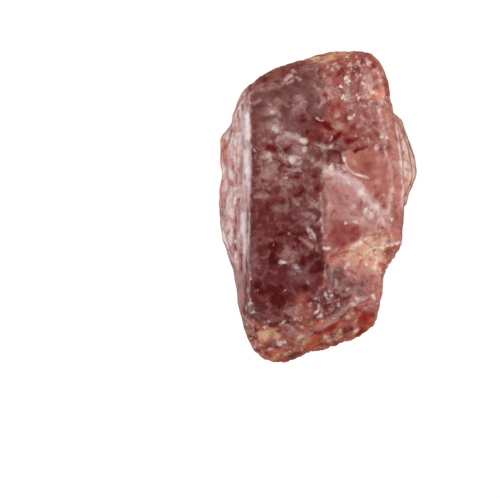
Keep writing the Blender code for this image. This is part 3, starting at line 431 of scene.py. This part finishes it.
class Shading:
    """Short ways to add nodes to one material or world."""

    def __init__(self, owner):
        owner.use_nodes = True
        self.tree = owner.node_tree
        self.place = None  # where patterns are read, in millimetres

    def feed(self, node, values):
        """Gives inputs of a node, by name or number, a fixed value or another node's output."""
        for name, value in values.items():
            socket = node.inputs[name]
            if isinstance(value, bpy.types.NodeSocket):
                self.tree.links.new(value, socket)
            elif isinstance(value, np.ndarray):
                socket.default_value = (*value, 1)
            else:
                socket.default_value = value

    def add(self, kind, values, **settings):
        node = self.tree.nodes.new(kind)
        for name, setting in settings.items():
            setattr(node, name, setting)
        self.feed(node, values)
        return node

    def vector(self, operation, first, second):
        return self.add("ShaderNodeVectorMath", {0: first, 1: second}, operation=operation).outputs[0]

    def math(self, operation, first, second=0.0):
        """A sum on two values; products are kept between 0 and 1."""
        clamped = operation == "MULTIPLY"
        node = self.add("ShaderNodeMath", {0: first, 1: second}, operation=operation, use_clamp=clamped)
        return node.outputs[0]

    def layer(self, name, kind="Fac"):
        return self.add("ShaderNodeAttribute", {}, attribute_name=name).outputs[kind]

    def moved(self, offset):
        """The place in the pattern, so that patterns with other offsets differ."""
        return self.vector("ADD", self.place, (offset,) * 3)

    def noise(self, size, detail=2.0, roughness=0.5, distortion=0.0, offset=0.0):
        values = {"Vector": self.moved(offset), "Scale": 1 / size, "Detail": detail}
        values.update({"Roughness": roughness, "Distortion": distortion})
        return self.add("ShaderNodeTexNoise", values).outputs["Fac"]

    def streaks(self, width, length, turn, offset=0.0):
        """Noise drawn out along one direction of the front, turned from across it by the given degrees."""
        values = {"Vector": self.moved(offset), "Angle": math.radians(turn)}
        turned = self.add("ShaderNodeVectorRotate", values, rotation_type="Z_AXIS")
        place = self.vector("DIVIDE", turned.outputs[0], (length, width, width))
        return self.add("ShaderNodeTexNoise", {"Vector": place, "Scale": 1.0, "Detail": 1.0}).outputs["Fac"]

    def cells(self, size, feature, offset):
        values = {"Vector": self.moved(offset), "Scale": 1 / size}
        return self.add("ShaderNodeTexVoronoi", values, feature=feature)

    def band(self, value, low, high, bottom=0.0, top=1.0):
        """Maps low..high smoothly to bottom..top."""
        values = {"Value": value, "From Min": low, "From Max": high, "To Min": bottom, "To Max": top}
        return self.add("ShaderNodeMapRange", values, interpolation_type="SMOOTHSTEP").outputs["Result"]

    def mix(self, share, first, second, blend="MIX"):
        values = {"Factor": share, 6: first, 7: second}
        return self.add("ShaderNodeMix", values, data_type="RGBA", blend_type=blend).outputs[2]

    def redder(self, share, colour):
        """The colour, mixed by a share with itself seen through red glass."""
        return self.mix(share, colour, self.mix(1.0, colour, RED_GLASS, "MULTIPLY"))

    def bump(self, height, distance, under, strength=1.0):
        """Raises the surface that is under it, if there is one yet."""
        values = {"Strength": strength, "Distance": distance * MM, "Height": height}
        if under is not None:
            values["Normal"] = under
        return self.add("ShaderNodeBump", values).outputs["Normal"]


# Setting up the picture.


def add_camera():
    data = bpy.data.cameras.new("camera")
    data.sensor_width = SENSOR_WIDTH
    data.lens = SENSOR_WIDTH * CAMERA_DISTANCE / PICTURE_WIDTH
    data.clip_start = 0.01
    data.clip_end = 10
    camera = bpy.data.objects.new("camera", data)
    x, y, z = PICTURE_CENTRE
    camera.location = Vector((x, y, z + CAMERA_DISTANCE)) * MM
    bpy.context.scene.collection.objects.link(camera)
    bpy.context.scene.camera = camera


def add_light(name, direction, distance, side, radiance):
    data = bpy.data.lights.new(name, "AREA")
    data.size = side * MM
    data.energy = radiance * math.pi * data.size**2
    light = bpy.data.objects.new(name, data)
    target = Vector(LIGHT_TARGET) * MM
    light.location = target + Vector(direction).normalized() * distance * MM
    light.rotation_euler = (light.location - target).to_track_quat("Z", "Y").to_euler()
    bpy.context.scene.collection.objects.link(light)


def add_world():
    """A pale room: bright round the sides, dimmer overhead, where the camera is, and below."""
    world = bpy.data.worlds.new("room")
    bpy.context.scene.world = world
    look = Shading(world)
    direction = look.add("ShaderNodeTexCoord", {}).outputs["Generated"]
    height = look.add("ShaderNodeSeparateXYZ", {0: direction}).outputs["Z"]
    strength = look.math("MINIMUM", look.band(height, *ROOM_OVERHEAD), look.band(height, *ROOM_BELOW))
    look.feed(look.tree.nodes["Background"], {"Color": (1, 1, 1, 1), "Strength": strength})


def add_floor():
    """The white table, which the crystal's gloss doesn't mirror."""
    mesh = bpy.data.meshes.new("floor")
    half = FLOOR_HALF_SIDE * MM
    corners = [(-half, -half, 0), (half, -half, 0), (half, half, 0), (-half, half, 0)]
    mesh.from_pydata(corners, [], [(0, 1, 2, 3)])
    floor = bpy.data.objects.new("floor", mesh)
    bpy.context.scene.collection.objects.link(floor)
    material = bpy.data.materials.new("white_table")
    look = Shading(material)
    values = {"Base Color": FLOOR_COLOUR, "Roughness": 0.8, "Specular IOR Level": 0.2}
    values.update({"Emission Color": (1, 1, 1, 1), "Emission Strength": FLOOR_GLOW})
    look.feed(look.tree.nodes["Principled BSDF"], values)
    floor.data.materials.append(material)
    floor.visible_glossy = False


# Reading and writing a mesh's points.


def rows_of(items, name, width, kind=float):
    """What each of a mesh's items says under a name, as one row of numbers an item."""
    values = np.empty(len(items) * width, dtype=kind)
    items.foreach_get(name, values)
    return values.reshape(-1, width)


def points_of(mesh):
    return rows_of(mesh.vertices, "co", 3)


def normals_of(mesh):
    return rows_of(mesh.vertices, "normal", 3)


def edges_of(mesh):
    return rows_of(mesh.edges, "vertices", 2, int)


def set_points(mesh, points):
    mesh.vertices.foreach_set("co", points.ravel())
    mesh.update()


def neighbour_mean(values, edges):
    """The mean of each point's neighbours, for an array with one row a point."""
    ends = np.concatenate((edges[:, 0], edges[:, 1]))
    others = np.concatenate((edges[:, 1], edges[:, 0]))
    count = len(values)
    share = np.bincount(ends, minlength=count).clip(1)
    rows = values.reshape(count, -1)
    sums = [np.bincount(ends, weights=column[others], minlength=count) for column in rows.T]
    return (np.stack(sums, axis=1) / share[:, None]).reshape(values.shape)


def blurred(values, edges, rounds):
    for _ in range(rounds):
        values = 0.5 * values + 0.5 * neighbour_mean(values, edges)
    return values


# Noise and masks.


def smoothstep(low, high, values):
    share = np.clip((values - low) / (high - low), 0, 1)
    return share * share * (3 - 2 * share)


def noise_at(points, size, offset):
    """Smooth noise of about -1 to 1, whose lumps are about as wide as the given size."""
    places = points / size + SEED + offset
    return np.array([noise.noise(Vector(place)) for place in places])


def waves_at(points, waves):
    """Several sizes of noise together."""
    return sum(height * noise_at(points, size, offset) for size, offset, height in waves)


def cells_at(points, size, offset):
    """The distances to the nearest and second nearest of points scattered about one size apart."""
    places = points / size + SEED + offset
    return np.array([noise.voronoi(Vector(place))[0][:2] for place in places]).T


def in_picture(points):
    """Where the camera sees points of the front, in the picture's pixels."""
    across = ORIGIN_PIXEL[0] + PIXELS_PER_MM * points[:, 0]
    down = ORIGIN_PIXEL[1] - PIXELS_PER_MM * points[:, 1]
    return across, down


def distance_to_line(across, down, line):
    nearest = np.full(len(across), np.inf)
    for (x0, y0), (x1, y1) in zip(line, line[1:]):
        dx, dy = x1 - x0, y1 - y0
        share = np.clip(((across - x0) * dx + (down - y0) * dy) / (dx * dx + dy * dy), 0, 1)
        nearest = np.minimum(nearest, np.hypot(across - x0 - share * dx, down - y0 - share * dy))
    return nearest


def is_inside(across, down, ring):
    inside = np.zeros(len(across), dtype=bool)
    for (x0, y0), (x1, y1) in zip(ring, ring[1:] + ring[:1]):
        if y0 != y1:
            spans = (down < y0) != (down < y1)
            inside ^= spans & (across < x0 + (down - y0) * (x1 - x0) / (y1 - y0))
    return inside


def depth_in(mark, across, down):
    """How far inside a mark each point lies, in pixels; it is negative outside."""
    depth = np.full(len(across), -np.inf)
    if "area" in mark:
        ring = mark["area"]
        rim = distance_to_line(across, down, ring + ring[:1])
        depth = np.where(is_inside(across, down, ring), rim, -rim)
    for x, y, half_width, half_height, *turn in mark.get("at", ()):
        angle = math.radians(sum(turn))
        c, s = math.cos(angle), math.sin(angle)
        along = (across - x) * c - (down - y) * s
        aside = (across - x) * s + (down - y) * c
        reach = np.hypot(along / half_width, aside / half_height)
        depth = np.maximum(depth, (1 - reach) * min(half_width, half_height))
    for line in mark.get("lines", ()):
        depth = np.maximum(depth, mark["width"] - distance_to_line(across, down, line))
    return depth


def cover(mark, across, down, wander):
    """How much each point is covered by a mark, from 0 to 1."""
    soft = mark.get("soft", 2.0)
    depth = depth_in(mark, across, down) + mark.get("ragged", 1.5) * wander
    return smoothstep(-soft, soft, depth)


def seen_from_above(normals):
    """How much each point's marks show: fully where it faces the camera, and not at all on upright sides."""
    return smoothstep(0.08, 0.34, normals[:, 2])


def facing_share(side, facing, wander):
    """How much each point belongs to a side, by the way it faces."""
    towards = np.array(Vector(side["towards"]).normalized())
    return smoothstep(0.40, 0.65, facing @ towards + 0.06 * wander)


# Making the crystal's surface.


def remeshed(node):
    """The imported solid's surface as an even, closed mesh in millimetres."""
    bm = bmesh.new()
    bm.from_mesh(node.data)
    bmesh.ops.scale(bm, vec=(1 / MM,) * 3, verts=bm.verts)
    bmesh.ops.remove_doubles(bm, verts=bm.verts, dist=0.001)
    mesh = bpy.data.meshes.new("coarse")
    bm.to_mesh(mesh)
    bm.free()
    holder = bpy.data.objects.new("coarse", mesh)
    bpy.context.scene.collection.objects.link(holder)
    remesh = holder.modifiers.new("even", "REMESH")
    remesh.mode = "VOXEL"
    remesh.voxel_size = VOXEL
    graph = bpy.context.evaluated_depsgraph_get()
    even = bpy.data.meshes.new_from_object(holder.evaluated_get(graph))
    bpy.data.objects.remove(holder)
    return even


def refine_front(mesh):
    """Halves the mesh's spacing on the front, where the picture looks closest."""
    bm = bmesh.new()
    bm.from_mesh(mesh)
    front = [f for f in bm.faces if f.normal.z > 0.15 and f.calc_center_median().z > FRONT_FROM]
    edges = {edge for face in front for edge in face.edges}
    bmesh.ops.subdivide_edges(bm, edges=list(edges), cuts=1, use_grid_fill=True)
    bm.to_mesh(mesh)
    bm.free()


def crushed_share(points, normals):
    """How chipped the surface is at each point, by its side and marks, and how far the marks raise it."""
    wander = waves_at(points, RIM_WAVES)
    crushed = np.full(len(points), LEAST_CRUSHED)
    for side in SIDES.values():
        share = facing_share(side, normals, wander)
        crushed += (side.get("crushed", 0) - crushed).clip(0) * share
    raised = np.zeros(len(points))
    across, down = in_picture(points)
    seen = seen_from_above(normals)
    for mark in MARKS.values():
        if "raised" in mark or "crushed" in mark:
            share = seen * cover(mark, across, down, wander)
            raised += mark.get("raised", 0) * share
            crushed += (mark.get("crushed", crushed) - crushed) * share
    return crushed, raised


def carve(mesh):
    """Adds the worn surface's lumps, pits and chips, and the marks that stand proud."""
    points = points_of(mesh)
    normals = normals_of(mesh)
    push = waves_at(points, WEAR)
    near, _ = cells_at(points, PIT_SPACING, 1.3)
    push -= PIT_DEPTH * smoothstep(0.40, 0.10, near)
    crushed, raised = crushed_share(points, normals)
    push += raised
    drawn = points * UPRIGHT
    near, second = cells_at(drawn, CHIP_SPACING, 5.5)
    chips = CHIP_HEIGHT * (smoothstep(0.0, 0.3, second - near) - 0.6)
    chips += CHIP_ROUGHNESS * noise_at(drawn, 0.25, 11.0)
    push += crushed * chips
    base = points[:, 2] < BASE_HEIGHT
    push[base] = -np.abs(push[base]) * BASE_WEAR
    set_points(mesh, points + normals * push[:, None])


def paint(mesh, edges):
    """Works out the crystal's tone, haze and sparkle at each point."""
    points = points_of(mesh)
    normals = normals_of(mesh)
    count = len(points)
    wander = waves_at(points, RIM_WAVES)

    # The stone itself, in clouds of maroon and brick.
    tone = np.tile(MAROON, (count, 1))
    cloud = smoothstep(-0.5, 0.5, noise_at(points, 1.7, 2.0))
    tone += (BRICK - tone) * cloud[:, None]
    haze = 0.4 + 0.3 * noise_at(points, 0.9, 6.0)
    layers = {name: np.zeros(count) for name in LAYERS}
    layers["spark"] += 0.25 + 0.5 * noise_at(points, 1.1, 8.0)
    layers["window"] += 0.15 + 0.4 * noise_at(points, 1.3, 12.0)

    # Its sides, then the marks on its front.
    facing = blurred(normals, edges, 3)
    patches = 0.5 + 0.5 * noise_at(points, 0.8, 14.0)
    for side in SIDES.values():
        share = facing_share(side, facing, wander)
        tone += (srgb(*side["tone"]) - tone) * (share * side["amount"] * (0.75 + 0.25 * patches))[:, None]
        for name, values in layers.items():
            values += (side.get(name, values) - values) * share
    across, down = in_picture(points)
    seen = seen_from_above(normals)
    for mark in MARKS.values():
        share = seen * cover(mark, across, down, wander)
        tone += (srgb(*mark["tone"]) - tone) * (share * mark.get("amount", 0.9))[:, None]
        haze += share * mark.get("haze", 0)
        for name, values in layers.items():
            values += (mark.get(name, values) - values) * share

    # Worn edges are paler, and hollows get a painted shade towards the deep red.
    convex = np.einsum("ij,ij->i", points - blurred(points, edges, 12), normals)
    worn = smoothstep(0.004, 0.035, convex)
    tone += (SALMON - tone) * worn[:, None] * 0.35
    hollow_shade = smoothstep(0.004, 0.03, -convex)
    tone += (DEEP - tone) * hollow_shade[:, None] * 0.25

    sheen = SHEEN_FLAT + (SHEEN_STEEP - SHEEN_FLAT) * smoothstep(0.95, 0.35, np.abs(normals[:, 2]))
    colours = np.ones((count, 4))
    colours[:, :3] = np.clip(tone * TONE_GAIN - sheen[:, None], DARKEST, 1)
    attribute = mesh.color_attributes.new("tone", "FLOAT_COLOR", "POINT")
    attribute.data.foreach_set("color", colours.ravel())
    layers["haze"] = haze + 0.2 * worn
    for name, values in layers.items():
        layer = mesh.attributes.new(name, "FLOAT", "POINT")
        layer.data.foreach_set("value", np.clip(values, 0, 1))


def make_crystal(node, low, high):
    """The crystal's fine surface, kept inside the box from low to high."""
    mesh = remeshed(node)
    set_points(mesh, blurred(points_of(mesh), edges_of(mesh), 4))
    refine_front(mesh)
    edges = edges_of(mesh)
    set_points(mesh, blurred(points_of(mesh), edges, 2))
    carve(mesh)
    paint(mesh, edges)
    set_points(mesh, np.clip(points_of(mesh) * MM, low, high))
    crystal = bpy.data.objects.new("rough_crystal", mesh)
    bpy.context.scene.collection.objects.link(crystal)
    mesh.shade_smooth()
    return crystal


# The crystal's material.


def mottled(look, tone, paler, haze, lively):
    """Spots that drift to a deeper, redder tone or to a paler one."""
    broad = look.noise(0.42, detail=2, distortion=0.3)
    share = look.math("MULTIPLY", look.band(broad, 0.56, 0.32, 0.0, 0.9), lively)
    colour = look.redder(share, tone)
    small = look.noise(0.17, detail=1, distortion=0.3, offset=13.0)
    share = look.math("MULTIPLY", look.band(small, 0.52, 0.26, 0.0, 0.8), lively)
    colour = look.redder(share, colour)
    pale = look.noise(0.28, detail=2, distortion=0.3, offset=17.0)
    much = look.math("MULTIPLY", look.band(haze, 0.0, 0.6, 0.25, 0.8), lively)
    return look.mix(look.math("MULTIPLY", look.band(pale, 0.44, 0.74), much), colour, paler)


def veil_share(look, haze, lively):
    """Wisps of veil, thickest where the crystal is hazy."""
    wisps = look.noise(0.20, detail=2, distortion=0.5, offset=31.0)
    start = look.band(haze, 0.0, 1.0, 0.80, 0.34)
    share = look.band(look.math("SUBTRACT", wisps, start), 0.0, 0.34, 0.0, 0.8)
    return look.math("MULTIPLY", share, lively)


def streaked(look, colour, paler):
    """Fine growth lines across the front, and upright strands down the left wall."""
    light = look.band(look.streaks(0.11, 0.9, 40), 0.52, 0.80)
    much = look.band(look.noise(0.8, offset=40), 0.45, 0.70, 0.0, 0.35)
    colour = look.mix(look.math("MULTIPLY", light, much), colour, paler)
    dark = look.band(look.streaks(0.12, 0.9, 55), 0.48, 0.22)
    much = look.band(look.noise(0.8, offset=55), 0.45, 0.70, 0.0, 0.35)
    colour = look.redder(look.math("MULTIPLY", dark, much), colour)
    strands = look.layer("strands")
    rust = look.band(look.streaks(0.14, 0.8, 88, offset=3.0), 0.52, 0.30, 0.0, 0.5)
    colour = look.mix(look.math("MULTIPLY", rust, strands), colour, STRAND_RUST)
    white = look.band(look.streaks(0.13, 0.5, 93, offset=9.0), 0.50, 0.76, 0.0, 0.55)
    return look.mix(look.math("MULTIPLY", white, strands), colour, STRAND_WHITE)


def shards(look):
    """Angular patches where the surface is clear down to the deep red."""
    inside = look.band(look.cells(0.26, "DISTANCE_TO_EDGE", 43.0).outputs["Distance"], 0.03, 0.16)
    chance = look.add("ShaderNodeSeparateColor", {0: look.cells(0.26, "F1", 43.0).outputs["Color"]})
    shard = look.math("MULTIPLY", inside, look.band(chance.outputs[0], 0.35, 0.85))
    ragged = look.noise(0.12, detail=2, roughness=0.6, offset=3.0)
    shard = look.math("MULTIPLY", shard, look.band(ragged, 0.32, 0.60))
    return look.math("MULTIPLY", shard, look.band(look.layer("window"), 0.15, 0.9))


def threads(look):
    """Thin threads, along which a pattern crosses its middle value."""
    wave = look.noise(0.60, detail=2, roughness=0.5, distortion=1.0, offset=57.0)
    crest = look.band(look.math("ABSOLUTE", look.math("SUBTRACT", wave, 0.5)), 0.022, 0.0)
    return look.math("MULTIPLY", crest, look.band(look.noise(0.8, offset=71.0), 0.52, 0.64, 0.0, 0.3))


def specks(look, pattern, most, least, gather, top):
    """Painted glints, where a pattern rises above a level, which sinks from most to least as the crystal
    sparkles more.
    """
    level = look.band(look.layer("spark"), 0.0, 1.0, most, least)
    gathered = look.band(look.noise(0.55, detail=1, offset=91.0), 0.35, 0.65, -gather, gather)
    level = look.math("SUBTRACT", level, gathered)
    return look.band(look.math("SUBTRACT", pattern, level), 0.0, 0.10, 0.0, top)


def glints(look):
    """Painted glints: larger patches of highlight, finer specks between them, and the bright marks."""
    glint_patches = look.noise(0.18, detail=2, roughness=0.6, distortion=0.3, offset=23.0)
    glint_patches = specks(look, glint_patches, 0.90, 0.62, 0.08, 1.0)
    glint_specks = specks(look, look.noise(0.06, detail=0, offset=29.0), 0.95, 0.74, 0.06, 0.6)
    broken = look.band(look.noise(0.06, detail=2, offset=37.0), 0.38, 0.54, 0.1, 1.0)
    bright = look.math("MULTIPLY", look.layer("bright"), broken)
    return look.math("MAXIMUM", bright, look.math("MAXIMUM", glint_patches, glint_specks))


def clear_body(look):
    """The clear stone under the surface: how it bends, scatters and absorbs light."""
    values = {"IOR": REFRACTION, "Specular IOR Level": 0.4, "Subsurface Weight": 0.3}
    values.update({"Subsurface Radius": SCATTER_REACH, "Subsurface Scale": SCATTER_SCALE * MM})
    look.feed(look.tree.nodes["Principled BSDF"], values)
    absorb = look.add("ShaderNodeVolumeAbsorption", {"Color": ABSORPTION, "Density": ABSORPTION_DENSITY})
    look.feed(look.tree.nodes["Material Output"], {"Volume": absorb.outputs[0]})


def spinel_material():
    material = bpy.data.materials.new("spinel")
    look = Shading(material)
    place = look.add("ShaderNodeTexCoord", {}).outputs["Object"]
    look.place = look.vector("MULTIPLY", place, tuple(UPRIGHT / MM))
    clear_body(look)
    tone = look.layer("tone", "Color")
    haze = look.layer("haze")
    deep = look.layer("deep")
    lively = look.band(look.layer("calm"), 0.0, 1.0, 1.0, 0.3)
    paler = look.mix(0.6, tone, PALE)
    veiled = veil_share(look, haze, lively)
    shard = shards(look)
    glint_share = glints(look)

    colour = mottled(look, tone, paler, haze, lively)
    colour = look.mix(veiled, colour, look.mix(0.75, tone, VEIL))
    colour = streaked(look, colour, paler)
    colour = look.mix(shard, colour, DEEP)
    colour = look.mix(deep, colour, tone)
    colour = look.mix(threads(look), colour, paler)
    # Painted glints: a near-white highlight mixed into the colour.
    colour = look.mix(look.math("MULTIPLY", glint_share, 0.9), colour, GLINT)

    # Gloss: polished in the windows and under the painted glints, frosted in the veils.
    window = look.math("MAXIMUM", shard, deep)
    rough = look.band(look.math("ADD", haze, veiled), 0.2, 1.4, 0.13, 0.36)
    polished = look.math("MULTIPLY", look.math("MAXIMUM", window, glint_share), 0.05)
    rough = look.math("SUBTRACT", rough, polished)
    clear = look.band(haze, 0.0, 0.8, 0.35, 0.08)

    # Fine relief, which the windows are nearly free of.
    grain = look.noise(0.11, detail=4, roughness=0.6, offset=5.0)
    relief = look.bump(grain, 0.010, None, look.band(window, 0.0, 1.0, 1.0, 0.2))
    relief = look.bump(glint_share, 0.012, relief)
    values = {"Base Color": colour, "Roughness": rough, "Transmission Weight": clear, "Normal": relief}
    look.feed(look.tree.nodes["Principled BSDF"], values)
    return material


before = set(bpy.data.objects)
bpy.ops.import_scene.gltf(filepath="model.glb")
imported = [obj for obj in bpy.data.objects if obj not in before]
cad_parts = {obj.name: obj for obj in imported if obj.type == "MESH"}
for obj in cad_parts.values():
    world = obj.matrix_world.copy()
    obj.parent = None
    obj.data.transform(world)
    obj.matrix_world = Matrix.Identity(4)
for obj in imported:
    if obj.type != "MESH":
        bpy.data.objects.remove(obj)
cad_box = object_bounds()
bpy.context.scene.view_settings.view_transform = "Standard"
add_camera()
add_world()
for name, light in LIGHTS.items():
    add_light(name, *light)
add_floor()
crystal = make_crystal(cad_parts["spinel_crystal"], *[np.array(corner) for corner in cad_box])
crystal.data.materials.append(spinel_material())
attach(crystal, "root")
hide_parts("spinel_crystal")
